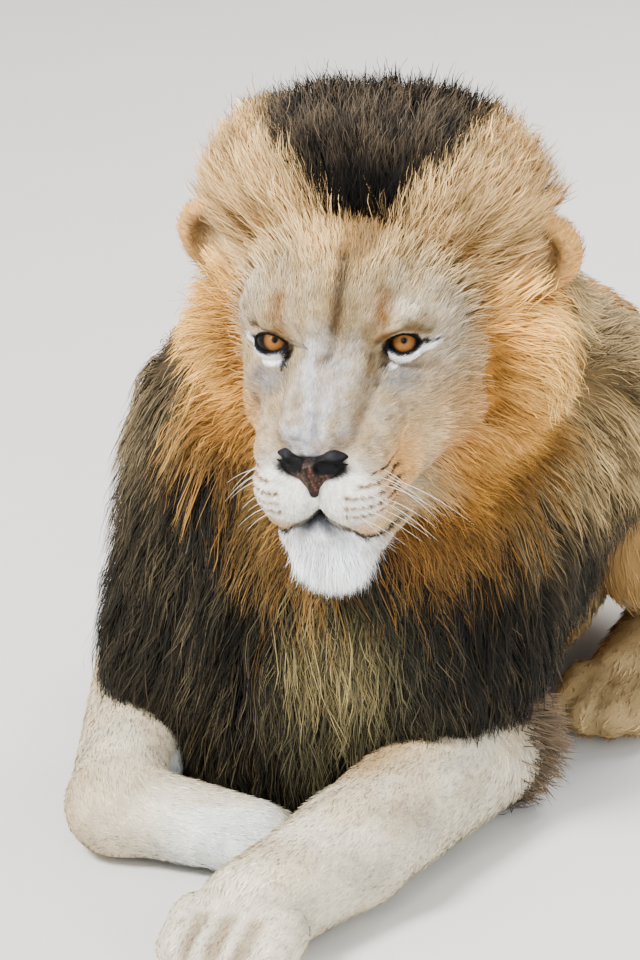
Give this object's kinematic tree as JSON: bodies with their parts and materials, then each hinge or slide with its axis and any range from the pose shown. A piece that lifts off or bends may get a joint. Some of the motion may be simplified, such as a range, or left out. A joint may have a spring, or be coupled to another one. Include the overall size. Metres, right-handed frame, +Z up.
{
  "type": "adult male lion",
  "caption": "Life-size still model of an adult male lion lying on its chest, head raised, one foreleg stretched forward and the other paw tucked across, full dark mane.",
  "frame": {"origin": "centre of the whole model's box, on the floor that it lies on", "axes": "+Z up, the lion faces -Y with its left side towards +X"},
  "size_m": [0.8858, 1.5808, 0.9013],
  "materials": {
    "body_coat": "short tan fur lying along the body, orange-brown patches on the forelegs, paler insides",
    "face_coat": "very short grey-buff fur with a grey bridge, orange streaks over the eyes and white muzzle pads with dark whisker spots",
    "pale_coat": "white chin beard under a dark lower lip",
    "golden_mane": "long golden-orange hair round the face with cream tips and a black crest",
    "dark_mane": "long black-brown and olive hair in locks, lighter at the tips",
    "nose_leather": "fine-grained dark nose leather mottled with pink-brown",
    "eye": "wet eye with an amber iris and a round black pupil"
  },
  "bodies": {
    "root": {"chest": "dark_mane", "ear_left": "face_coat", "ear_right": "face_coat", "eye_left": "eye", "eye_right": "eye", "forearm_left": "body_coat", "forearm_right": "body_coat", "forepaw_left": "body_coat", "forepaw_right": "body_coat", "head": "face_coat", "hind_foot_left": "body_coat", "hind_foot_right": "body_coat", "jaw": "pale_coat", "mane_crest": "golden_mane", "mane_ruff": "golden_mane", "neck": "dark_mane", "nose": "nose_leather", "rump": "body_coat", "shank_left": "body_coat", "shank_right": "body_coat", "shoulders": "dark_mane", "tail": "body_coat", "tail_tuft": "dark_mane", "thigh_left": "body_coat", "thigh_right": "body_coat", "trunk": "body_coat"}
  },
  "joints": []
}
